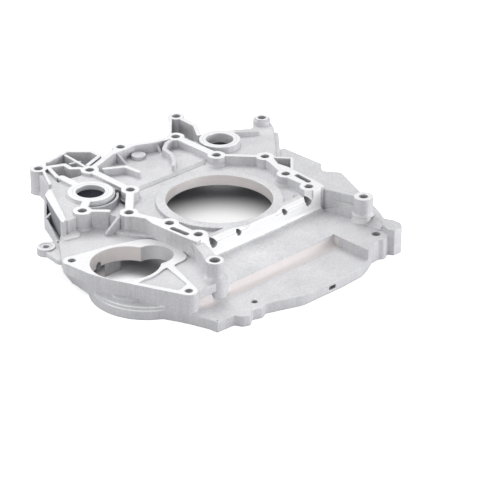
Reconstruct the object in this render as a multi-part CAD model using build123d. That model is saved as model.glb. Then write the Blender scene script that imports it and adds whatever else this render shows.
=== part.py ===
"""Rear engine cover: one die-cast aluminium plate that closes the back of a V engine.

It lies on its gearbox side, with the face that bolts to the cylinder block upwards.
Units are millimetres and +Z is up. The origin is on the crankshaft axis, half way down the
seal bore. +X is the cover's right seen from above, and the oil-pan face looks along -Y.
Depths are drops: how far a surface lies below the machined joint face.
"""
import os
from math import atan2, degrees, hypot

from build123d import *

# Drops of the machined and cast levels
total_height = 45.5
rail_drop = 1.0
platform_drop = 3.0
link_drop = 3.0
ledge_drop = 11.7
ramp_foot_drop = 23.3
collar_drop = 6.0
arm_drop = 7.0
upper_floor_drop = 7.0
far_floor_drop = 12.5
plate_drop = 9.5
hollow_drop = 12.0
starter_face_drop = 16.0
left_floor_drop = 17.5
right_floor_drop = 18.5
left_ear_drop = 20.0
deep_pocket_drop = 22.0
shelf_drop = 24.5
pocket_drop = 35.0
lens_drop = 30.0
bulge_drop = 33.0
bulge_foot_drop = 36.5
tip_drop = 39.0
tip_taper_drop = 27.0

# Undersides and walls
plate_underside = 17.0
ear_underside = 26.0
shelf_thickness = 7.5
bay_wall = 8.0

# Seal bore, bearing bores and flywheel bay
seal_bore_radius = 52.5
seal_bore_depth = plate_underside - collar_drop
collar_width = 10.0
bearing_bore_radius = 14.3
left_ring_radius = 22.6
right_ring_radius = 21.3
left_bearing_depth = 5.0
right_bearing_depth = 10.5
bearing_clearance_radius = 17.5
bay_radius = 118.0

# Joint bolts
joint_hole_radius = 4.5
left_foot_hole_radius = 5.2
joint_boss_radius = 9.2
ear_post_radius = 8.5
foot_boss_radius = 9.5
foot_cone_height = 8.0
slot_length = 22.5
slot_width = 5.6

# Oil-pan face
pan_face_y = -60.5
pan_hole_drop = 10.2
pan_hole_depth = 18.0
pan_outer_spacing = 126.0
pan_inner_spacing = 61.2
pan_outer_hole_radius = 4.1
pan_inner_hole_radius = 2.9
pan_foot_radius = 5.0
pan_lip_radius = 8.0
strip_setback = 0.3

# Pocket in front of the pan face
pocket_back_y = -104.5
pocket_right_x = 52.0
pocket_foot_radius = 5.2

# Starter opening
starter_center = (-140.5, -23.0)
starter_radius = 33.0
starter_lobe_center = (-111.0, -28.5)
starter_lobe_radius = 19.0
starter_bore_depth = 15.0
starter_cavity_x = -138.5
starter_wall_hole = (-146.5, 9.6, 29.5)
starter_wall_hole_radius = 3.6
starter_bulge_center = (-124.5, -36.5)
starter_bulge_radius = 56.0
starter_bulge_step = 1.0
starter_lens_center = (-154.2, -46.3)
starter_lens_radius = 18.7
starter_recess = 1.5
starter_hole_radius = 3.8
starter_hole_depth = 14.0
starter_boss_radius = 8.5
tip_foot_radius = 4.5

# Places of the bolts, as (x, y); the mirrored pairs give the +X side
ear_bolt = (92.5, 165.0)
upper_bolt = (57.5, 127.2)
centre_bolt = (0.0, 147.3)
plate_bolt = (57.5, 65.5)
hip_bolt = (90.7, 29.2)
side_bolt = (77.5, -13.8)
pan_bolt = (73.4, -49.7)
left_foot_bolt = (-97.2, -97.7)
right_foot_bolt = (96.1, -102.0)
rail_bolt = (-120.4, 62.9)
arm_bolt = (155.1, 100.1)
side_slot = (82.0, -33.2)
slot_lean = 6.0
left_bearing = (-88.3, 89.3)
right_bearing = (86.2, 91.3)
left_ear_center = (-168.0, 60.0)
starter_bolts = ((-173.4, 15.1), (-133.8, -102.6))
tip_foot = (-170.8, 12.1)
shelf_bolt = (82.0, -132.5)
pocket_hole = (-81.5, -133.5)
corner_mark = (-129.8, -135.6)

joint_z = collar_drop + seal_bore_depth / 2


def level(drop):
    """Height of a surface that lies this far below the joint face."""
    return joint_z - drop


def mirrored(point):
    """The same place on the -X side."""
    return (-point[0], point[1])


def outline(*corners):
    """Closed face whose corners are (x, y, rounding radius)."""
    points = [(x, y) for x, y, rounding in corners]
    roundings = [rounding for x, y, rounding in corners]
    return make_face(FilletPolyline(*points, radius=roundings, close=True))


def slab(face, top, bottom):
    """Upright prism of a face between two drops."""
    return Pos(0, 0, level(bottom)) * extrude(face, bottom - top)


def post(center, radius, top, bottom):
    """Upright round post."""
    return slab(Pos(*center) * Circle(radius), top, bottom)


def bar(start, end, width):
    """Face of a straight bar with round ends."""
    (x1, y1), (x2, y2) = start, end
    run = hypot(x2 - x1, y2 - y1)
    turn = degrees(atan2(y2 - y1, x2 - x1))
    return Pos((x1 + x2) / 2, (y1 + y2) / 2) * SlotCenterToCenter(run, width, rotation=turn)


def wall(points, width, top, bottom):
    """Upright wall along a bent line."""
    pieces = [slab(bar(start, end, width), top, bottom) for start, end in zip(points, points[1:])]
    return Part() + pieces


def web(start, end, width, bottom):
    """Rib between two (x, y, drop) points, whose top edge slopes from one drop to the other."""
    (x1, y1, drop1), (x2, y2, drop2) = start, end
    run = hypot(x2 - x1, y2 - y1)
    turn = degrees(atan2(y2 - y1, x2 - x1))
    low = level(bottom)
    side = make_face(Polyline((0, low), (run, low), (run, level(drop2)), (0, level(drop1)), close=True))
    return Pos(x1, y1) * Rot(0, 0, turn) * extrude(Plane.XZ * side, width / 2, both=True)


def ramp(start, end, run, low_drop, high_drop, bottom):
    """Sloping edge along a line, which rises from one drop to another on the line's left side."""
    (x1, y1), (x2, y2) = start, end
    length = hypot(x2 - x1, y2 - y1)
    turn = degrees(atan2(y2 - y1, x2 - x1))
    low = level(bottom)
    section = make_face(
        Polyline((0, low), (run, low), (run, level(high_drop)), (0, level(low_drop)), close=True)
    )
    return Pos(x1, y1) * Rot(0, 0, turn) * extrude(Plane.YZ * section, length)


def boss(center, radius, bottom, flare=1.5):
    """Round boss up to the joint face, with a flared foot."""
    high = level(0)
    low = level(bottom)
    section = make_face(
        Polyline((0, high), (radius, high), (radius, low + flare), (radius + flare, low), (0, low), close=True)
    )
    return Pos(*center) * revolve(Plane.XZ * section, Axis.Z)


def crank_plate():
    """Plate round the crankshaft, with the raised collar of the seal bore."""
    x1, y1 = plate_bolt
    x2, y2 = hip_bolt
    x3, y3 = side_bolt
    x4, y4 = pan_bolt
    half = [(x1, y1 + 6, 0), (x2, y2, 0), (x3, y3, 0), (x4, y4, 0), (x4, pan_face_y, 0)]
    other_half = [(-x, y, rounding) for x, y, rounding in reversed(half)]
    plate = slab(outline(*half, *other_half), plate_drop, plate_underside)
    collar_radius = seal_bore_radius + collar_width
    behind_pan_face = Pos(0, pan_face_y + collar_radius) * Rectangle(2 * collar_radius, 2 * collar_radius)
    return plate + slab(Circle(collar_radius) & behind_pan_face, collar_drop, plate_underside)


def upper_floor():
    """Floor above the crank plate: level at first, then falling to the far wall."""
    x1, y1 = upper_bolt
    chamfer_y = plate_bolt[1] + 6.5
    flat_y = chamfer_y + 4
    bend_y = 98.0
    far_y = centre_bolt[1]
    bottom = upper_floor_drop + 13
    section = make_face(
        Polyline(
            (chamfer_y, level(plate_drop)),
            (flat_y, level(upper_floor_drop)),
            (bend_y, level(upper_floor_drop)),
            (far_y, level(far_floor_drop)),
            (far_y, level(bottom)),
            (chamfer_y, level(bottom)),
            close=True,
        )
    )
    floor = extrude(Plane.YZ * section, x1 + 4, both=True)
    region = slab(far_region(), 0, bottom)
    return floor & region


def far_region():
    """Face of the bay between the upper bolts, the centre bolt and the plate bolts."""
    x1, y1 = upper_bolt
    return outline((-x1, 60, 0), (-x1, y1, 0), (-17, 142, 0), (13, 142.5, 0), (31, 134.5, 0), (x1, y1, 0), (x1, 60, 0))


def left_platform():
    """High platform round the left bearing bore, with the walls that drop to the left floor."""
    face = outline(
        (-57.5, 127, 0),
        (-72, 128, 3),
        (-85, 131, 2),
        (-104, 131, 3),
        (-108.6, 126.6, 2),
        (-142.1, 60.1, 1),
        (-136.5, 60.1, 1),
        (-127, 61, 4),
        (-114, 56, 3),
        (-103, 43.5, 2),
        (-101, 30, 3),
        (-96, 24, 3),
        (-88, 25, 0),
        (-57.6, 66, 0),
    )
    platform = slab(face, platform_drop, ear_underside)
    hollow = outline(
        (-116.5, 62.5, 2), (-101.5, 45.5, 2), (-97.5, 32, 3), (-89, 33, 3), (-61, 70, 3), (-62, 80, 3),
        (-84, 86, 3), (-104, 76, 3),
    )
    return platform - slab(hollow, 0, hollow_drop)


def left_rail():
    """Machined rail along the platform's outer edge, and the thin fin outside it."""
    rail = outline((-108.6, 126.6, 2), (-124.6, 115, 4), (-147.9, 63, 2), (-148.8, 57.3, 1), (-142.1, 60.1, 1))
    fin = [(-124, 114.5, 1.5), (-138.5, 97.4, 14), (-153.5, 60, left_ear_drop)]
    body = slab(rail, rail_drop, ear_underside)
    for start, end in zip(fin, fin[1:]):
        body += web(start, end, 2.5, ear_underside)
    body += web((-128, 96, 8), (-139.5, 96, 14), 2.5, ear_underside)
    gap_floor = outline((-120, 112, 0), (-124, 114, 0), (-139, 97, 0), (-156, 59, 0), (-146, 57, 0))
    return body + slab(gap_floor, deep_pocket_drop, ear_underside)


def left_floor():
    """Low floor between the strip, the rail and the starter flange."""
    face = outline(
        (-158, 53, 4),
        (-179, 22.7, 10),
        (-178, -17, 0),
        (-171, -37, 0),
        (-138, -107.5, 0),
        (-105, -107.5, 3),
        (-97, -100, 0),
        (-85, -62, 0),
        (-80, 60, 0),
        (-104, 110, 0),
        (-145, 66, 0),
    )
    body = slab(face, left_floor_drop, ear_underside)
    pad = outline((-150, 58, 0), (-152, 51, 2), (-137, 47.5, 2), (-132.5, 52, 2), (-130, 62, 0))
    body += slab(pad, left_floor_drop - 1.3, ear_underside)
    step = outline((-104, 40, 0), (-108, 28, 3), (-99, 9, 4), (-90, -4, 0), (-80, 10, 0))
    return body + slab(step, left_floor_drop - 3, ear_underside)


def left_ear():
    """Lug with its own round boss at the cover's left edge."""
    x, y = left_ear_center
    root = outline((x - 7, y - 9, 4), (x + 3, y + 10, 6), (-150, 62, 0), (-150, 50, 0), (-160, 30, 0), (-177, 26, 6))
    lug = slab(root, left_ear_drop + 1.5, ear_underside)
    return lug + post((x, y), 9, left_ear_drop, ear_underside + 1.5)


def shelf_block():
    """Deep front block under the oil-pan face, with the shelf and the open pocket."""
    front = outline(
        (-132, -90, 0),
        (-133.2, -128.3, 0),
        (-132, -138, 0),
        (-112, -139, 2),
        (-108.5, -146, 4),
        (-101, -149.5, 4),
        (-94, -143.3, 3),
        (-84, -147, 5),
        (-76.5, -143.5, 5),
        (-41, -156.7, 22),
        (9, -157.5, 30),
        (38, -156, 12),
        (50.7, -151, 6),
        (64, -144.5, 5),
        (74, -143.5, 4),
        (80, -147.5, 5),
        (87.5, -142, 5),
        (98, -147, 1),
        (102, -146, 0),
        (104, -60, 0),
        (60, pan_face_y, 0),
        (-88, pan_face_y, 0),
        (-100, -80, 0),
    )
    block = slab(front, shelf_drop, total_height)
    ledge_face = outline((-136, -80, 0), (-136, -107.5, 0), (-104, -107.5, 4), (-96, -80, 0))
    block += slab(ledge_face, left_floor_drop, total_height)
    high = level(0)
    foot = level(pocket_drop)
    far = foot + pocket_foot_radius
    cutter = make_face(
        Line((pocket_back_y, high), (pocket_back_y, far))
        + RadiusArc(
            (pocket_back_y, far), (pocket_back_y - pocket_foot_radius, foot), pocket_foot_radius
        )
        + Line((pocket_back_y - pocket_foot_radius, foot), (-170, foot))
        + Line((-170, foot), (-170, high))
        + Line((-170, high), (pocket_back_y, high))
    )
    pocket = Pos(-145, 0) * extrude(Plane.YZ * cutter, pocket_right_x + 145)
    return block - pocket


def pan_wall():
    """Wall that carries the oil-pan face, filleted into the shelf."""
    back = pan_face_y + 12
    foot = pan_face_y - pan_foot_radius
    lip = pan_lip_radius
    low = level(shelf_drop + 3)
    section = make_face(
        Line((back, low), (back, level(collar_drop)))
        + Line((back, level(collar_drop)), (pan_face_y + lip, level(collar_drop)))
        + RadiusArc((pan_face_y + lip, level(collar_drop)), (pan_face_y, level(collar_drop + lip)), -lip)
        + Line((pan_face_y, level(collar_drop + lip)), (pan_face_y, level(shelf_drop - pan_foot_radius)))
        + RadiusArc(
            (pan_face_y, level(shelf_drop - pan_foot_radius)), (foot, level(shelf_drop)), pan_foot_radius
        )
        + Line((foot, level(shelf_drop)), (foot, low))
        + Line((foot, low), (back, low))
    )
    left = -88.0
    right = 81.0
    return Pos(left, 0) * extrude(Plane.YZ * section, right - left)


def side_strips():
    """Wide machined strips down both sides of the crank plate."""
    half = outline(
        (96, 24, 3),
        (88, 8, 3),
        (90, -5, 3),
        (87.6, -42, 0),
        (85.3, pan_face_y + strip_setback, 0),
        (69.5, pan_face_y + strip_setback, 0),
        (72, -42, 3),
        (72, -20, 3),
        (83, 14, 4),
        (86, 26, 2),
    )
    strip = slab(half, 0, ear_underside)
    return strip + mirror(strip, Plane.YZ)


def links():
    """Machined links that join the bolt bosses."""
    x1, y1 = plate_bolt
    x2, y2 = hip_bolt
    body = wall([mirrored(upper_bolt), mirrored(plate_bolt)], 8, 0, plate_underside + 3)
    body += wall([mirrored(plate_bolt), mirrored(hip_bolt)], 8, 0, left_floor_drop + 3)
    body += wall([left_bearing, rail_bolt], 8, 0, left_floor_drop)
    body += wall([rail_bolt, (-103, 45.5)], 5, 0, left_floor_drop)
    body += wall([upper_bolt, plate_bolt], 9, 0, plate_underside + 3)
    body += wall([plate_bolt, hip_bolt], 5, 0, right_floor_drop + 3)
    body += wall([hip_bolt, side_bolt], 6, 0, right_floor_drop + 3)
    x, y = left_foot_bolt
    foot_link = outline((-84, -50, 0), (-94, -77, 12), (x - 7.5, y + 2, 0), (x + 7.5, y, 0), (-77, pan_face_y, 0))
    body += slab(foot_link, link_drop, left_floor_drop + 3)
    return body


def far_wall():
    """Rim at the far side of the upper floor, and the ribs on that floor."""
    x1, y1 = upper_bolt
    rim = [(-x1, y1), (-17, 142), (13, 142.5), (31, 134.5), (x1, y1)]
    body = wall(rim, 6, 0, ear_underside)
    body += wall([(13, 142.5), centre_bolt, (-17, 142)], 6, 0, ear_underside)
    body += wall([(x1, y1), (41, 122.5), (30, 114), (26.5, 99), (19, 86.5), (11.5, 79)], 4.5, 0.5, upper_floor_drop + 9)
    body += wall([(-44, 121), (-25.5, 110), (-23.5, 91.5)], 4.5, 1, upper_floor_drop + 9)
    body += web((-11, 139, 1), (-9, 125, far_floor_drop - 1), 2.5, upper_floor_drop + 10)
    body += web((36, 132.5, 1), (33.5, 122, far_floor_drop - 1), 2.5, upper_floor_drop + 10)
    return body + post((10, 131), 7.5, 6.5, upper_floor_drop + 10)


def upper_left_pocket():
    """Deep pocket beyond the left bearing bore, with its ribs, up to the left ear post."""
    x1, y1 = upper_bolt
    ear = mirrored(ear_bolt)
    rim = [ear, (-76.4, 171), (-47.2, 177), (-28.5, 159), (-29, 146), (-51.9, 137.3)]
    floor = outline(
        (-x1, y1 - 6, 0), (-28, 144, 0), (-27, 160, 4), (-46, 180, 4), (-78, 174, 4), (-98, 166, 4),
        (-99, 150, 4), (-110, 128, 2), (-100, 120, 0),
    )
    body = slab(floor, deep_pocket_drop, ear_underside)
    body += wall(rim[1:], 4, 0, ear_underside)
    body += wall([ear, (-68, 154), (-69, 143), (-63, 138), (-x1, y1)], 5, 0, deep_pocket_drop)
    body += wall([(-54.5, 139), (-52, 172)], 3, 1, deep_pocket_drop)
    body += wall([(-60, 155), (-50, 152)], 3, 2, deep_pocket_drop)
    body += wall([(-88.5, 108), (-88.5, 133)], 8, 0, deep_pocket_drop)
    shoulder = outline((-108.6, 126.6, 2), (-98, 158, 6), (-89, 162, 0), (-88, 150, 0), (-95, 131, 0))
    body += slab(shoulder, platform_drop, ear_underside)
    body += web((-91, 160, 0), (-107, 128, 0), 3, deep_pocket_drop)
    return body + wall([(-84, 160), (-91, 137)], 4, 0, deep_pocket_drop)


def right_arms():
    """Arm platform round the right bearing bore, and the two lugs that reach out from it."""
    face = outline(
        (57, 66, 0),
        (90, 29, 0),
        (113.9, 36.8, 3),
        (155.6, 81.9, 4),
        (164, 96, 7),
        (153, 108.5, 7),
        (139, 98, 5),
        (116, 112, 5),
        (96, 116, 5),
        (76, 114, 0),
        (57, 127, 0),
    )
    body = slab(face, arm_drop, ear_underside)
    lip = outline((108, 30, 0), (117, 33, 3), (160, 80, 4), (150, 88, 0))
    body += slab(lip, arm_drop + 5, ear_underside)
    x, y = ear_bolt
    x1, y1 = upper_bolt
    body += wall([(x1 - 4.4, y1 + 4.2), (x - 4.4, y + 4.2)], 3.5, 0, ear_underside)
    body += wall([(x, y), (91, 134), (78, 114)], 5, 0, ear_underside)
    arm_floor = outline((57, 122, 0), (92, 168, 0), (92, 130, 0), (76, 108, 0))
    body += slab(arm_floor, left_floor_drop, ear_underside)
    body += web((108, 98, 1), (133.5, 82, 3), 3.5, arm_drop + 3)
    return body + post(arm_bolt, 9, 2, ear_underside)


def right_floor():
    """Rough low floor at the right, which carries a block down to the gearbox face."""
    edge = [
        (146.3, 57.6, 3),
        (147, 4, 4),
        (135, -7.7, 6),
        (146.8, -23.8, 5),
        (129.5, -65.2, 8),
        (114.5, -101, 5),
        (107.7, -114.7, 4),
        (102.6, -123.3, 3),
        (106.6, -132, 4),
        (106.9, -141, 4),
        (101.5, -148.5, 3),
        (91.3, -147.9, 1),
        (88.4, -143, 1),
    ]
    face = outline((60, 60, 0), *edge, (92, -131.5, 2), (98.2, -126, 2), (99.5, -64, 0), (75, -55, 0), (60, 0, 0))
    outer = outline((100, 50, 0), *edge, (93, -131, 0), (101, -120, 0), (101, -66, 0), (100, 0, 0))
    body = slab(face, right_floor_drop, ear_underside)
    body += slab(outer, right_floor_drop, total_height)
    low = outline(
        (86, -60, 0), (92, -93, 0), (90.1, -99, 0), (88.5, -129, 3), (92, -134, 0), (104, -134, 0), (104, -60, 0)
    )
    body += slab(low, ramp_foot_drop, total_height)
    return body + ramp((92, -60), (90.5, -130), 8, ramp_foot_drop, right_floor_drop, ear_underside)


def right_ribs():
    """Link and ribs beside the right foot bolt, and the small triangle at the hip bolt."""
    x, y = right_foot_bolt
    tail = (86.5, pan_face_y - 0.5)
    body = wall([pan_bolt, (82.3, -58.2)], 5, 0, right_floor_drop)
    body += wall([tail, (x + 0.2, y + 11)], 3.5, link_drop, shelf_drop + 1)
    body += web((83.6, -60, shelf_drop - 0.2), (x - 4.3, y + 7, 10.8), 3.2, shelf_drop + 1)
    ledge = outline((87, -63, 0), (x - 1, y + 12, 0), (x - 5, y + 7, 0), (87.5, -79, 0))
    body += slab(ledge, ledge_drop, shelf_drop + 1)
    body += wall([hip_bolt, (109, 9), (89, -11)], 3, 1, right_floor_drop)
    cone = Cone(foot_boss_radius + 3, foot_boss_radius, foot_cone_height)
    return body + Pos(x, y, level(shelf_drop) + foot_cone_height / 2) * cone


def starter_flange(tip, radius):
    """Face of the starter flange, whose far end goes round this tip."""
    x1, y1 = tip
    x2, y2 = starter_bolts[1]
    return outline(
        (x1 - 0.95 * radius, y1 - 0.31 * radius, 0),
        (-178, -17, 20),
        (-172, -37, 20),
        (x2 - 7.8, y2 - 3.4, 0),
        (x2 + 8.1, y2 - 2.4, 0),
        (-111, -57, 4),
        (-90, -56, 11),
        (-85.5, -32, 16),
        (-92, 0, 16),
        (-130, 14, 40),
        (x1 - 0.13 * radius, y1 + 0.98 * radius, 0),
    )


def starter_housing():
    """Starter flange, its web, and the rounded housing below it."""
    x2, y2 = starter_bolts[1]
    ends = [
        ((tip_foot[0], tip_foot[1]), tip_foot_radius, tip_drop),
        (starter_bolts[0], starter_boss_radius, tip_taper_drop),
    ]
    faces = [Pos(0, 0, level(drop)) * starter_flange(center, radius) for center, radius, drop in ends]
    body = slab(starter_flange(starter_bolts[0], starter_boss_radius), starter_face_drop, tip_taper_drop)
    body += loft(faces, ruled=True)
    core = outline(
        (-172, -13, 6), (-178, -28, 8), (-163, -62, 0), (-141.5, -105, 6), (-133.2, -128.3, 0), (-132, -138, 0),
        (-120, -120, 0), (-100, -90, 0), (-100, 0, 0), (-150, 0, 0),
    )
    body += slab(core, pocket_drop, total_height)
    housing = outline((-176, -20, 0), (-171, -38, 0), (-141.5, -103, 0), (-110, -107, 0), (-100, -40, 0), (-120, 0, 0))
    body += slab(housing, left_floor_drop, total_height)
    step = starter_bulge_step
    body += post(starter_lens_center, starter_lens_radius, lens_drop, total_height)
    body += post(starter_bulge_center, starter_bulge_radius - step, bulge_drop, total_height)
    body += post(starter_bulge_center, starter_bulge_radius, bulge_foot_drop, total_height)
    body += post(starter_bolts[0], starter_boss_radius, starter_face_drop, tip_taper_drop)
    circles = [Pos(*center, level(drop)) * Circle(radius) for center, radius, drop in ends]
    body += loft(circles, ruled=True)
    return body + post((x2, y2), starter_boss_radius, starter_face_drop, total_height)


def starter_cuts():
    """Keyhole for the starter, the cavity below it, and the shallow recess of the flange."""
    keyhole = Pos(*starter_center) * Circle(starter_radius)
    keyhole += Pos(*starter_lobe_center) * Circle(starter_lobe_radius)
    opening = slab(keyhole, 0, total_height)
    cavity_radius = starter_bulge_radius - bay_wall
    roof = starter_face_drop + starter_bore_depth
    x, y = starter_bulge_center
    outline_below = Pos(x, y) * Circle(cavity_radius)
    outline_below += Pos(x + 20, y) * Rectangle(40, 2 * cavity_radius)
    outline_below += Pos(*starter_center) * Circle(starter_radius + 1.5)
    right_side = Pos(starter_cavity_x + 50, y) * Rectangle(100, 200)
    cavity = slab(outline_below & right_side, roof, total_height)
    hole_x, hole_y, hole_drop = starter_wall_hole
    wall_hole = Pos(hole_x, hole_y, level(hole_drop)) * Rot(90, 0, 0) * Cylinder(starter_wall_hole_radius, 9)
    recess = outline((-157, -60, 1), (-118.5, -56, 1), (-126.5, -92, 2), (-139.5, -96, 3))
    rim = Pos(*starter_center) * Circle(starter_radius + 4)
    web_recess = slab(recess - rim, 0, starter_face_drop + starter_recess)
    holes = [post(center, starter_hole_radius, 0, starter_face_drop + starter_hole_depth) for center in starter_bolts]
    return [opening, cavity, wall_hole, web_recess, *holes]


def bay_rim():
    """Round block that carries the far half of the cover down to the gearbox face."""
    disc = Circle(bay_radius + bay_wall)
    far_half = Pos(0, 90) * Rectangle(400, 210)
    return slab(disc & far_half, ear_underside - 3, total_height)


def bay_cut():
    """Flywheel bay: a wide round hollow from the gearbox face up to the plates."""
    bay = post((0, 0), bay_radius, plate_underside, total_height + 1)
    half = bay_radius + 10
    high = plate_underside - 1
    bay -= slab(Pos(0, 58 + half / 2) * Rectangle(2 * half, half), high, upper_floor_drop + 13)
    for side in (1, -1):
        bay -= slab(Pos(side * (80 + half / 2), 0) * Rectangle(half, 2 * half), high, ear_underside)
    roof = starter_face_drop + starter_bore_depth
    bay -= post(starter_center, starter_radius + 5, high, roof)
    bay -= post(starter_lobe_center, starter_lobe_radius + 5, high, roof)
    bay -= slab(Pos(0, -56 - half / 2) * Rectangle(2 * half, half), high, shelf_drop + shelf_thickness)
    bay -= slab(Pos(0, -98 - half / 2) * Rectangle(2 * half, half), high, total_height + 2)
    return bay


def joint_bolts():
    """Places of the bolts through the joint face, without the two deep ones at the feet."""
    pairs = [upper_bolt, plate_bolt, hip_bolt, side_bolt, pan_bolt, ear_bolt]
    single = [centre_bolt, rail_bolt, arm_bolt]
    return pairs + [mirrored(place) for place in pairs] + single


def bosses():
    """Bosses of the joint bolts."""
    short = [(plate_bolt, plate_drop), (side_bolt, plate_drop), (pan_bolt, plate_drop)]
    short += [(upper_bolt, far_floor_drop), (hip_bolt, right_floor_drop)]
    body = Part()
    for place, bottom in short:
        for center in (place, mirrored(place)):
            body += boss(center, joint_boss_radius, bottom)
    body += boss(centre_bolt, joint_boss_radius - 0.5, ear_underside, 0.5)
    body += boss(rail_bolt, joint_boss_radius, left_floor_drop)
    body += post(arm_bolt, 7, 0, ear_underside)
    body += boss(right_foot_bolt, foot_boss_radius, right_floor_drop, 2)
    body += boss(left_foot_bolt, ear_post_radius, left_floor_drop, 3)
    body += post(left_foot_bolt, 12, left_floor_drop, total_height)
    body += boss(ear_bolt, ear_post_radius, ear_underside, 0.5)
    return body + boss(mirrored(ear_bolt), ear_post_radius, ear_underside, 0.5)


def bearing_rings():
    """Machined rings of the two bearing bores, with the ridge below the left one."""
    x, y = left_bearing
    body = post(left_bearing, left_ring_radius, 0, ear_underside)
    body += post(left_bearing, left_ring_radius + 1.5, platform_drop - 1.2, ear_underside)
    ridge = Pos(x, y) * (Circle(left_ring_radius + 5) - Circle(left_ring_radius + 2.5))
    below = Pos(x, y - 30) * Rectangle(70, 34)
    body += slab(ridge & below, 4.5, hollow_drop + 2)
    return body + post(right_bearing, right_ring_radius, 0, ear_underside)


def through_cuts():
    """Bores, bolt holes and slots."""
    cuts = [post((0, 0), seal_bore_radius, 0, total_height)]
    cuts.append(post((0, 0), seal_bore_radius + 6, -1, collar_drop))
    for center, depth in ((left_bearing, left_bearing_depth), (right_bearing, right_bearing_depth)):
        cuts.append(post(center, bearing_bore_radius, 0, total_height))
        cuts.append(post(center, bearing_clearance_radius, depth, total_height))
    for center in joint_bolts():
        cuts.append(post(center, joint_hole_radius, 0, ear_underside + 2))
    cuts.append(post(left_foot_bolt, left_foot_hole_radius, 0, total_height))
    cuts.append(post(right_foot_bolt, joint_hole_radius, 0, total_height))
    for side in (1, -1):
        slot = Pos(side * side_slot[0], side_slot[1])
        slot *= SlotOverall(slot_length, slot_width, rotation=90 - side * slot_lean)
        cuts.append(slab(slot, 0, plate_underside - 3))
    for spacing, radius in ((pan_outer_spacing, pan_outer_hole_radius), (pan_inner_spacing, pan_inner_hole_radius)):
        for side in (1, -1):
            hole = Pos(side * spacing / 2, pan_face_y, level(pan_hole_drop)) * Rot(90, 0, 0)
            cuts.append(hole * Cylinder(radius, 2 * pan_hole_depth))
    cuts.append(post(left_ear_center, 3, 0, total_height))
    cuts.append(post(left_ear_center, 6.5, 0, left_ear_drop + 0.6))
    cuts.append(post(shelf_bolt, 4.3, 0, total_height))
    cuts.append(post(pocket_hole, 3, 0, total_height))
    cuts.append(post(corner_mark, 0.9, 0, pocket_drop + 4))
    notch = Pos(-3.5, -154, level(40.5)) * Rot(90, 0, 0) * extrude(SlotOverall(9, 4), 12, both=True)
    return cuts + [notch]


def build_cover():
    """The whole casting."""
    body = left_floor()
    for piece in (left_platform(), left_rail(), left_ear(), upper_left_pocket(), upper_floor(), far_wall()):
        body += piece
    for piece in (right_arms(), right_floor(), bay_rim(), shelf_block(), crank_plate(), pan_wall()):
        body += piece
    for piece in (side_strips(), links(), right_ribs(), bearing_rings(), starter_housing(), bosses()):
        body += piece
    body += web((-102, 31, 1), (-117, 33.5, left_floor_drop - 2), 3.5, left_floor_drop + 2)
    body -= bay_cut()
    for cut in starter_cuts() + through_cuts():
        body -= cut
    return body


cover_casting = build_cover()
cover_casting.label = "cover_casting"

os.makedirs("parts", exist_ok=True)
export_step(cover_casting, "parts/cover_casting.step")
box = cover_casting.bounding_box()
print("solids", len(cover_casting.solids()), "volume", round(cover_casting.volume), "box", box)
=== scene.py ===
"""Looks of a die-cast aluminium rear engine cover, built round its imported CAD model."""

from math import radians

import bpy
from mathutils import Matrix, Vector


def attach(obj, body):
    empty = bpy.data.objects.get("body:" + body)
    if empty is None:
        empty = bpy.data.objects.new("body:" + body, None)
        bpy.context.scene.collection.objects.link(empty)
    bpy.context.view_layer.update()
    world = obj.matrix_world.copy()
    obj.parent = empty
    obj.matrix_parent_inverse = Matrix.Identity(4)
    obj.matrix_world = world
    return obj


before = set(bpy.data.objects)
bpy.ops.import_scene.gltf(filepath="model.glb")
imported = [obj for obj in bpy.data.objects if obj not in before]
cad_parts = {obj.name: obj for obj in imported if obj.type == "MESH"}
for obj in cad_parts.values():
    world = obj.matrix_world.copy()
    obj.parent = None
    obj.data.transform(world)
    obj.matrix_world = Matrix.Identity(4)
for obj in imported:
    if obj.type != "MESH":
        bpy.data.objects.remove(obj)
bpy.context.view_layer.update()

# The casting. One piece of pressure die-cast aluminium, satin grey as it leaves the mould, with its
# joint faces milled bright and its bores turned. The CAD node stays and takes the material below.
joint_face_z = 0.0115
rail_z = 0.0105
starter_face_z = -0.0045
ear_face_z = -0.0085
ear_inner_x = -0.155
gearbox_face_z = -0.034
pan_face_y = -0.0605
pan_face_half_width = 0.0795
pan_lip_middle_y = pan_face_y + 0.0039
pan_lip_half_depth = 0.0042
shelf_top_z = -0.0125
bore_margin = 0.0004
bores = {
    "crank seal": ((0.0, 0.0), 0.0525),
    "left bearing": ((-0.0883, 0.0893), 0.0143),
    "right bearing": ((0.0862, 0.0913), 0.0143),
    "starter": ((-0.1405, -0.023), 0.033),
    "starter lobe": ((-0.111, -0.0285), 0.019),
}
# Painted reflection: these two turned bores are painted lighter and warmer than the others.
reflection_bores = ("crank seal", "starter")
bearing_line_radius = 0.0176
bearing_line_half_width = 0.0003
# Painted shade in the voids under three bores: centre, radius, top height and fade of the dark tone.
painted_void_shades = {
    "left bearing": ((-0.0883, 0.0893), 0.0179, 0.0064, 0.04),
    "right bearing": ((0.0862, 0.0913), 0.0179, 0.0009, 0.04),
    "starter": ((-0.1405, -0.023), 0.0336, -0.0196, 0.013),
}
bulge_center = (-0.1245, -0.0365)
bulge_step_radius = 0.0555
bulge_step_reach = 0.0018
bulge_steps = ((-0.0213, 0.0009), (-0.025, 0.0005))
rail_outward = (-0.9126, 0.4089)
rail_distance = 0.16073
rail_middle_y = 0.089
rail_half_length = 0.0265
pocket_foot_y = -0.1075
pocket_top_z = -0.0155
pocket_right_x = 0.053
left_foot_center = (-0.0972, -0.0977)
left_foot_radius = 0.0135


def math_node(tree, operation, first, second=None, third=None, clamp=False):
    """Math node with its inputs linked to sockets or set to numbers."""
    node = tree.nodes.new("ShaderNodeMath")
    node.operation = operation
    node.use_clamp = clamp
    for socket, value in zip(node.inputs, (first, second, third)):
        if isinstance(value, bpy.types.NodeSocket):
            tree.links.new(value, socket)
        elif value is not None:
            socket.default_value = value
    return node.outputs[0]


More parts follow.
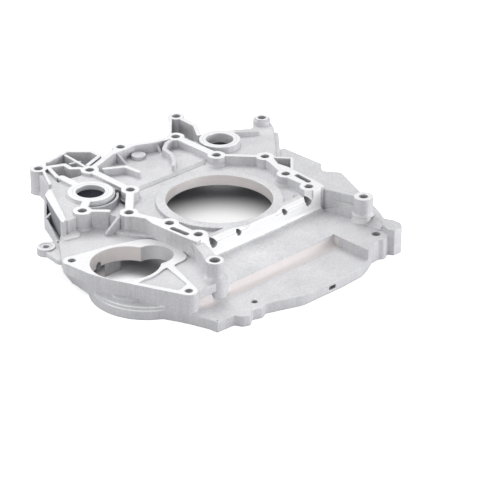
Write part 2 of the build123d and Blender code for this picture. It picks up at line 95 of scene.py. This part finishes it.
def product(tree, result, *others):
    """All values multiplied."""
    for other in others:
        result = math_node(tree, "MULTIPLY", result, other)
    return result


def largest(tree, result, *others):
    """The largest of the values."""
    for other in others:
        result = math_node(tree, "MAXIMUM", result, other)
    return result


def near(tree, value, target, reach):
    """1 where the value lies within reach of the target, else 0."""
    return math_node(tree, "COMPARE", value, target, reach)


def ramp(tree, value, start, end):
    """Smooth rise from 0 where the value is at the start to 1 at the end."""
    node = tree.nodes.new("ShaderNodeMapRange")
    node.interpolation_type = "SMOOTHSTEP"
    node.inputs["From Min"].default_value = start
    node.inputs["From Max"].default_value = end
    tree.links.new(value, node.inputs["Value"])
    return node.outputs[0]


def axis_distance(tree, place, center):
    """Distance from an upright axis."""
    across = math_node(tree, "SUBTRACT", place[0], center[0])
    along = math_node(tree, "SUBTRACT", place[1], center[1])
    squares = math_node(tree, "MULTIPLY_ADD", across, across, product(tree, along, along))
    return math_node(tree, "SQRT", squares)


def shader_group(name, inputs, outputs):
    """Empty shader node group with numbers going in, at given values, and numbers coming out."""
    tree = bpy.data.node_groups.new(name, "ShaderNodeTree")
    for label, value in inputs.items():
        socket = tree.interface.new_socket(label, in_out="INPUT", socket_type="NodeSocketFloat")
        socket.default_value = value
    for label in outputs:
        tree.interface.new_socket(label, in_out="OUTPUT", socket_type="NodeSocketFloat")
    return tree, tree.nodes.new("NodeGroupInput"), tree.nodes.new("NodeGroupOutput")


def milled_and_highlight_mask(tree, place, facing, reach):
    """Milled faces, half on top and full on the gearbox side; the pan face at full, partly milled finish
    and partly painted highlight, with a painted highlight on its rounded lip and painted highlight lines
    at 0.75 on the bulge's two steps.
    """
    x, y, z = place
    up = math_node(tree, "GREATER_THAN", facing[2], 0.99)
    down = math_node(tree, "LESS_THAN", facing[2], -0.99)
    on_ear = math_node(tree, "LESS_THAN", x, ear_inner_x)
    top_faces = largest(
        tree,
        near(tree, z, joint_face_z, reach),
        near(tree, z, rail_z, reach),
        near(tree, z, starter_face_z, reach),
        product(tree, near(tree, z, ear_face_z, reach), on_ear),
    )
    top_faces = product(tree, top_faces, up, 0.5)
    for label in ("left bearing", "right bearing"):
        from_axis = axis_distance(tree, place, bores[label][0])
        line = near(tree, from_axis, bearing_line_radius, bearing_line_half_width)
        top_faces = math_node(tree, "SUBTRACT", top_faces, line, clamp=True)
    # Painted highlight: the rounded lip above the pan face turns white the more it faces the pan side.
    towards_pan = ramp(tree, facing[1], -0.05, -0.4)
    painted_lip_highlight = product(tree, near(tree, y, pan_lip_middle_y, pan_lip_half_depth), towards_pan)
    pan_face_and_painted_lip = product(
        tree,
        largest(tree, painted_lip_highlight, near(tree, y, pan_face_y, 0.0006)),
        near(tree, x, 0.0, pan_face_half_width),
        math_node(tree, "GREATER_THAN", z, shelf_top_z),
    )
    gearbox_side = product(tree, near(tree, z, gearbox_face_z, reach), down)
    # Painted highlight: bright lines along the bulge's two steps, standing in for their edges.
    from_bulge = axis_distance(tree, place, bulge_center)
    steps = product(
        tree,
        largest(tree, *(near(tree, z, height, half_width) for height, half_width in bulge_steps)),
        near(tree, from_bulge, bulge_step_radius, bulge_step_reach),
        ramp(tree, y, -0.03, -0.05),
        ramp(tree, y, -0.0925, -0.083),
        0.75,
    )
    return largest(tree, top_faces, pan_face_and_painted_lip, gearbox_side, steps)


def bore_masks(tree, place):
    """The room inside all bores, and inside the two painted lighter and warmer as a reflection."""
    all_rooms = []
    reflection_rooms = []
    for label, (center, radius) in bores.items():
        room = math_node(tree, "LESS_THAN", axis_distance(tree, place, center), radius + bore_margin)
        all_rooms.append(room)
        if label in reflection_bores:
            reflection_rooms.append(room)
    return largest(tree, *all_rooms), largest(tree, *reflection_rooms)


def painted_void_shade_mask(tree, place, upright):
    """Painted shade: walls painted dark in the voids under three bores, and at a share of 0.62 on the
    rail's outward wall.
    """
    x, y, z = place
    parts = []
    for center, radius, top, fade in painted_void_shades.values():
        inside = math_node(tree, "LESS_THAN", axis_distance(tree, place, center), radius)
        below_top = math_node(tree, "LESS_THAN", z, top)
        parts.append(product(tree, inside, below_top, ramp(tree, z, top - fade, top)))
    # Painted shade on the rail's outward wall.
    outward = math_node(tree, "MULTIPLY_ADD", x, rail_outward[0], product(tree, y, rail_outward[1]))
    on_wall = near(tree, outward, rail_distance, 0.001)
    beside_rail = near(tree, y, rail_middle_y, rail_half_length)
    parts.append(product(tree, on_wall, beside_rail, 0.62))
    return product(tree, largest(tree, *parts), upright)


def pocket_foot_highlight_mask(tree, place):
    """Painted highlight: soft band along the foot of the front pocket's back wall, clear of the left
    foot's boss.
    """
    x, y, z = place
    from_foot = math_node(tree, "ABSOLUTE", math_node(tree, "SUBTRACT", y, pocket_foot_y))
    from_boss = axis_distance(tree, place, left_foot_center)
    return product(
        tree,
        ramp(tree, from_foot, 0.0075, 0.002),
        math_node(tree, "LESS_THAN", z, pocket_top_z),
        math_node(tree, "LESS_THAN", x, pocket_right_x),
        math_node(tree, "GREATER_THAN", from_boss, left_foot_radius),
        ramp(tree, x, -0.13, -0.118),
    )


def machined_and_painted_light_group():
    """Masks of the milled faces and their painted highlights, all bores and the two with a painted
    reflection, painted shade in voids, and a painted highlight at the pocket's foot.
    """
    tree, given, result = shader_group(
        "machined_and_painted_light_places",
        {"Reach": 0.0003},
        ("Milled And Highlight", "Turned", "Painted Shade", "Foot Highlight", "Painted Reflection"),
    )
    coordinates = tree.nodes.new("ShaderNodeTexCoord")
    place = tree.nodes.new("ShaderNodeSeparateXYZ")
    tree.links.new(coordinates.outputs["Object"], place.inputs[0])
    geometry = tree.nodes.new("ShaderNodeNewGeometry")
    facing = tree.nodes.new("ShaderNodeSeparateXYZ")
    tree.links.new(geometry.outputs["True Normal"], facing.inputs[0])
    upright = near(tree, facing.outputs[2], 0.0, 0.1)
    all_rooms, reflection_rooms = bore_masks(tree, place.outputs)
    masks = {
        "Milled And Highlight": milled_and_highlight_mask(tree, place.outputs, facing.outputs, given.outputs["Reach"]),
        "Turned": product(tree, all_rooms, upright),
        "Painted Shade": painted_void_shade_mask(tree, place.outputs, upright),
        "Foot Highlight": pocket_foot_highlight_mask(tree, place.outputs),
        "Painted Reflection": reflection_rooms,
    }
    for label, mask in masks.items():
        tree.links.new(mask, result.inputs[label])
    return tree


def cast_skin_group():
    """Fine skin of a die casting: grain, flow clouds, and the upright streaks of the draw."""
    tree, given, result = shader_group(
        "cast_skin",
        {"Grain Size": 0.0015, "Cloud Size": 0.03, "Streak Size": 0.003},
        ("Grain", "Clouds", "Streaks"),
    )
    coordinates = tree.nodes.new("ShaderNodeTexCoord")
    stretched = tree.nodes.new("ShaderNodeMapping")
    stretched.inputs["Scale"].default_value = (1, 1, 0.06)
    tree.links.new(coordinates.outputs["Object"], stretched.inputs["Vector"])
    for label, size, detail, roughness, source in (
        ("Grain", "Grain Size", 3, 0.6, coordinates.outputs["Object"]),
        ("Clouds", "Cloud Size", 4, 0.55, coordinates.outputs["Object"]),
        ("Streaks", "Streak Size", 3, 0.6, stretched.outputs[0]),
    ):
        noise = tree.nodes.new("ShaderNodeTexNoise")
        noise.inputs["Detail"].default_value = detail
        noise.inputs["Roughness"].default_value = roughness
        tree.links.new(source, noise.inputs["Vector"])
        tree.links.new(math_node(tree, "DIVIDE", 1.0, given.outputs[size]), noise.inputs["Scale"])
        spread = tree.nodes.new("ShaderNodeMapRange")
        spread.inputs["From Min"].default_value = 0.3
        spread.inputs["From Max"].default_value = 0.7
        tree.links.new(noise.outputs["Fac"], spread.inputs["Value"])
        tree.links.new(spread.outputs[0], result.inputs[label])
    return tree


def tool_marks_group():
    """Fine rings that a turning tool leaves on a bore's wall, level with the joint face."""
    tree, given, result = shader_group("tool_marks", {"Spacing": 0.0007}, ("Marks",))
    coordinates = tree.nodes.new("ShaderNodeTexCoord")
    rings = tree.nodes.new("ShaderNodeTexWave")
    rings.wave_type = "BANDS"
    rings.bands_direction = "Z"
    rings.inputs["Distortion"].default_value = 1.5
    rings.inputs["Detail"].default_value = 3
    tree.links.new(coordinates.outputs["Object"], rings.inputs["Vector"])
    tree.links.new(math_node(tree, "DIVIDE", 0.314, given.outputs["Spacing"]), rings.inputs["Scale"])
    tree.links.new(rings.outputs["Fac"], result.inputs["Marks"])
    return tree


def mixed_color(tree, factor, first, second):
    """Mix node for colours, with sockets or colours in, and its colour out."""
    node = tree.nodes.new("ShaderNodeMix")
    node.data_type = "RGBA"
    for socket, value in zip((node.inputs[0], node.inputs[6], node.inputs[7]), (factor, first, second)):
        if isinstance(value, bpy.types.NodeSocket):
            tree.links.new(value, socket)
        else:
            socket.default_value = value
    return node.outputs[2]


def cast_aluminium():
    """Satin die-cast skin, bright where the mask says that a cutter went over it, with painted highlights,
    a painted reflection and painted shade in its colour.
    """
    material = bpy.data.materials.new("cast_aluminium_skin")
    material.use_nodes = True
    tree = material.node_tree
    shader = tree.nodes["Principled BSDF"]
    mask = tree.nodes.new("ShaderNodeGroup")
    mask.node_tree = machined_and_painted_light_group()
    skin = tree.nodes.new("ShaderNodeGroup")
    skin.node_tree = cast_skin_group()
    marks = tree.nodes.new("ShaderNodeGroup")
    marks.node_tree = tool_marks_group()
    cast_tone = mixed_color(tree, skin.outputs["Clouds"], (0.7, 0.7, 0.722, 1), (0.79, 0.79, 0.81, 1))
    grain_shade = math_node(tree, "MULTIPLY", skin.outputs["Grain"], 0.14)
    streak_shade = math_node(tree, "MULTIPLY", skin.outputs["Streaks"], 0.08)
    shade = math_node(tree, "ADD", grain_shade, streak_shade)
    cast_tone = mixed_color(tree, shade, cast_tone, (0.0, 0.0, 0.0, 1))
    # Painted highlight: a warm pale band along the foot of the front pocket's back wall.
    foot_highlight_share = math_node(tree, "MULTIPLY", mask.outputs["Foot Highlight"], 0.85)
    cast_tone = mixed_color(tree, foot_highlight_share, cast_tone, (0.84, 0.79, 0.785, 1))
    # Painted shade: within 12 mm of narrow corners, creases and holes, an ambient occlusion node darkens
    # the tone towards blue-grey (0.46, 0.46, 0.485).
    painted_corner_shade = tree.nodes.new("ShaderNodeAmbientOcclusion")
    painted_corner_shade.samples = 8
    painted_corner_shade.inputs["Distance"].default_value = 0.012
    openness = ramp(tree, painted_corner_shade.outputs["AO"], 0.08, 0.6)
    cast_tone = mixed_color(tree, openness, (0.46, 0.46, 0.485, 1), cast_tone)
    # Milled faces brighten to near white; the pan face's lip and the bulge's steps are painted highlights.
    milled_and_highlight_tone = mixed_color(tree, mask.outputs["Milled And Highlight"], cast_tone, (0.97, 0.97, 0.975, 1))
    grey_turned = mixed_color(tree, marks.outputs["Marks"], (0.97, 0.97, 0.98, 1), (0.74, 0.74, 0.76, 1))
    # Painted reflection: the crank seal and starter bores take a lighter, warmer turned tone.
    reflection_turned = mixed_color(tree, marks.outputs["Marks"], (0.99, 0.945, 0.925, 1), (0.92, 0.88, 0.86, 1))
    turned_tone = mixed_color(tree, mask.outputs["Painted Reflection"], grey_turned, reflection_turned)
    tone = mixed_color(tree, mask.outputs["Turned"], milled_and_highlight_tone, turned_tone)
    # Painted shade: dark blue-grey on the walls of the voids and on the rail's outward wall.
    tone = mixed_color(tree, mask.outputs["Painted Shade"], tone, (0.13, 0.133, 0.17, 1))
    tree.links.new(tone, shader.inputs["Base Color"])
    worked = math_node(tree, "MAXIMUM", mask.outputs["Milled And Highlight"], mask.outputs["Turned"])
    less_metallic = math_node(tree, "MAXIMUM", mask.outputs["Milled And Highlight"], mask.outputs["Foot Highlight"])
    metallic = math_node(tree, "SUBTRACT", 0.65, math_node(tree, "MULTIPLY", less_metallic, 0.35))
    tree.links.new(metallic, shader.inputs["Metallic"])
    cast_roughness = math_node(tree, "MULTIPLY_ADD", skin.outputs["Grain"], 0.1, 0.55)
    roughness = math_node(tree, "SUBTRACT", cast_roughness, math_node(tree, "MULTIPLY", worked, 0.16))
    roughness = math_node(tree, "MULTIPLY_ADD", mask.outputs["Foot Highlight"], 0.3, roughness)
    tree.links.new(roughness, shader.inputs["Roughness"])
    edges = tree.nodes.new("ShaderNodeBevel")
    edges.samples = 6
    edges.inputs["Radius"].default_value = 0.0011
    relief = tree.nodes.new("ShaderNodeBump")
    relief.inputs["Distance"].default_value = 0.0002
    relief.inputs["Strength"].default_value = 0.4
    unworked = math_node(tree, "SUBTRACT", 1.0, worked)
    cast_relief = math_node(tree, "MULTIPLY", skin.outputs["Grain"], unworked)
    turned_relief = product(tree, marks.outputs["Marks"], mask.outputs["Turned"], 0.3)
    tree.links.new(math_node(tree, "ADD", cast_relief, turned_relief), relief.inputs["Height"])
    tree.links.new(edges.outputs[0], relief.inputs["Normal"])
    tree.links.new(relief.outputs[0], shader.inputs["Normal"])
    return material


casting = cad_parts["cover_casting"]
casting.data.materials.clear()
casting.data.materials.append(cast_aluminium())

# The threads. Cut in the cast wall by a tap, in the four blind holes of the oil-pan face and in
# the two holes of the starter flange. Each is one ridge that winds down its hole.
pan_thread_y = -0.0515
pan_thread_z = 0.0013
starter_thread_z = -0.0175


def tapped_thread(name, hole_radius, pitch, turns, place, lying):
    """Helical ridge in a hole, which starts at a place and runs up, or away from the pan."""
    bpy.ops.object.select_all(action="DESELECT")
    bpy.ops.mesh.primitive_circle_add(
        vertices=3,
        radius=0.56 * pitch,
        location=(hole_radius + 0.00012, 0, 0),
        rotation=(radians(90), radians(-90), 0),
    )
    thread = bpy.context.object
    thread.name = name
    bpy.ops.object.transform_apply(location=True, rotation=True, scale=True)
    winding = thread.modifiers.new("winding", "SCREW")
    winding.steps = 20
    winding.render_steps = 20
    winding.iterations = turns
    winding.screw_offset = pitch
    bpy.ops.object.modifier_apply(modifier=winding.name)
    bpy.ops.object.mode_set(mode="EDIT")
    bpy.ops.mesh.select_all(action="SELECT")
    bpy.ops.mesh.remove_doubles(threshold=0.00002)
    bpy.ops.mesh.fill_holes(sides=3)
    bpy.ops.mesh.select_all(action="SELECT")
    bpy.ops.mesh.normals_make_consistent(inside=False)
    bpy.ops.object.mode_set(mode="OBJECT")
    if lying:
        thread.rotation_euler = (radians(-90), 0, 0)
    thread.location = place
    bpy.ops.object.transform_apply(location=True, rotation=True, scale=True)
    bpy.ops.object.shade_smooth_by_angle(angle=radians(40))
    thread.data.materials.append(casting.data.materials[0])
    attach(thread, "root")


for side_name, side in (("left", -1), ("right", 1)):
    outer_place = (side * 0.063, pan_thread_y, pan_thread_z)
    inner_place = (side * 0.0306, pan_thread_y, pan_thread_z)
    tapped_thread("pan_outer_thread_" + side_name, 0.0041, 0.00125, 7, outer_place, True)
    tapped_thread("pan_inner_thread_" + side_name, 0.0029, 0.001, 8, inner_place, True)
tapped_thread("starter_far_thread", 0.0038, 0.00125, 9, (-0.1734, 0.0151, starter_thread_z), False)
tapped_thread("starter_near_thread", 0.0038, 0.00125, 9, (-0.1338, -0.1026, starter_thread_z), False)

# The table top. A white sheet, brighter to the camera than to the lamps. A painted shadow darkens it under
# the casting, and painted pools of light brighten it where light falls on it through the two large bores.
bpy.ops.object.select_all(action="DESELECT")
bpy.ops.mesh.primitive_plane_add(size=12, location=(0, 0, gearbox_face_z - 0.0002))
table_top = bpy.context.object
table_top.name = "table_top"
white_sheet = bpy.data.materials.new("white_sheet")
white_sheet.use_nodes = True
sheet_tree = white_sheet.node_tree
sheet_shader = sheet_tree.nodes["Principled BSDF"]
sheet_shader.inputs["Roughness"].default_value = 0.9
sheet_place = sheet_tree.nodes.new("ShaderNodeTexCoord")


def ring_blend(center, inner, outer):
    """0 up to the inner distance from a point of the sheet, 1 from the outer one on."""
    distance = sheet_tree.nodes.new("ShaderNodeVectorMath")
    distance.operation = "DISTANCE"
    distance.inputs[1].default_value = center
    sheet_tree.links.new(sheet_place.outputs["Object"], distance.inputs[0])
    return ramp(sheet_tree, distance.outputs["Value"], inner, outer)


sheet_path = sheet_tree.nodes.new("ShaderNodeLightPath")
# Painted shadow: to the camera the sheet is darker (0.34) under the casting, fading to pale beyond it.
clear_of_casting = ring_blend((0, 0, 0), 0.095, 0.125)
camera_tone_with_painted_shadow = mixed_color(sheet_tree, clear_of_casting, (0.34, 0.34, 0.35, 1), (0.78, 0.78, 0.79, 1))
is_glossy = sheet_path.outputs["Is Glossy Ray"]
lamp_tone = mixed_color(sheet_tree, is_glossy, (0.32, 0.32, 0.33, 1), (0.78, 0.78, 0.8, 1))
is_camera = sheet_path.outputs["Is Camera Ray"]
sheet_tone = mixed_color(sheet_tree, is_camera, lamp_tone, camera_tone_with_painted_shadow)
sheet_tree.links.new(sheet_tone, sheet_shader.inputs["Base Color"])
open_table = product(sheet_tree, ring_blend((0, 0, 0), 0.125, 0.15), 0.6)
# Painted light: pools of light on the sheet, seen by the camera, under the crank seal bore and the starter
# bore.
painted_light_under_seal = product(sheet_tree, ring_blend((0, 0, 0), 0.092, 0.036), 0.75)
painted_light_under_starter = product(sheet_tree, ring_blend((-0.1405, -0.023, 0), 0.038, 0.016), 0.75)
glow_and_painted_light = product(sheet_tree, largest(sheet_tree, open_table, painted_light_under_seal, painted_light_under_starter), is_camera)
sheet_glow_and_painted_light = mixed_color(sheet_tree, glow_and_painted_light, (0, 0, 0, 1), (1, 1, 1, 1))
sheet_tree.links.new(sheet_glow_and_painted_light, sheet_shader.inputs["Emission Color"])
sheet_shader.inputs["Emission Strength"].default_value = 1.0
table_top.data.materials.append(white_sheet)

# The room. White to the camera and above the horizon, and dimmer on the camera's side, so that
# walls that face the camera stay grey as on a light table.
world = bpy.data.worlds.new("studio")
world.use_nodes = True
bpy.context.scene.world = world
sky = world.node_tree
background = sky.nodes["Background"]
direction = sky.nodes.new("ShaderNodeTexCoord")
away = sky.nodes.new("ShaderNodeVectorMath")
away.operation = "DOT_PRODUCT"
away.inputs[1].default_value = (0.45, 0.47, 0.76)
sky.links.new(direction.outputs["Generated"], away.inputs[0])
fall = sky.nodes.new("ShaderNodeMapRange")
fall.interpolation_type = "SMOOTHSTEP"
fall.inputs["From Min"].default_value = -0.5
fall.inputs["From Max"].default_value = 0.75
fall.inputs["To Min"].default_value = 0.4
fall.inputs["To Max"].default_value = 0.58
sky.links.new(away.outputs["Value"], fall.inputs["Value"])
sky_path = sky.nodes.new("ShaderNodeLightPath")
strength = math_node(sky, "MAXIMUM", fall.outputs[0], sky_path.outputs["Is Camera Ray"])
sky.links.new(strength, background.inputs["Strength"])
background.inputs["Color"].default_value = (1, 1, 1, 1)

# The lamps. One wide soft box overhead and behind, weak ones at the left, behind on the left and
# in front for the walls that face those ways, and a low one on the oil-pan side for the pan face.
for name, place, width, height, power in (
    ("overhead_box", (0.22, 0.42, 0.7), 0.7, 0.7, 2.9),
    ("left_box", (-1.5, 0.0, 0.6), 1.0, 1.0, 4.6),
    ("back_box", (-0.9, 1.2, 0.45), 0.8, 0.8, 6),
    ("front_box", (-1.0, -1.1, 0.7), 0.8, 0.8, 2.2),
    ("side_box", (0.8, -1.15, 0.25), 1.4, 0.45, 13),
):
    lamp = bpy.data.lights.new(name, "AREA")
    lamp.shape = "RECTANGLE"
    lamp.size = width
    lamp.size_y = height
    lamp.energy = power
    holder = bpy.data.objects.new(name, lamp)
    bpy.context.collection.objects.link(holder)
    holder.location = place
    holder.rotation_euler = (-Vector(place)).to_track_quat("-Z", "Y").to_euler()

# The camera. It stands at the photograph's distance and angle, in front of the casting's left foot,
# with a small shift for the photograph's framing.
camera_data = bpy.data.cameras.new("camera")
camera_data.lens = 148.35
camera_data.sensor_width = 36
camera_data.shift_x = -0.00104
camera_data.shift_y = -0.0271
camera = bpy.data.objects.new("camera", camera_data)
bpy.context.collection.objects.link(camera)
camera.location = (-1.1766, -1.2609, 0.8633)
camera.rotation_euler = Vector((0.6142, 0.6426, -0.4583)).to_track_quat("-Z", "Y").to_euler()
bpy.context.scene.camera = camera
bpy.context.scene.view_settings.view_transform = "Standard"
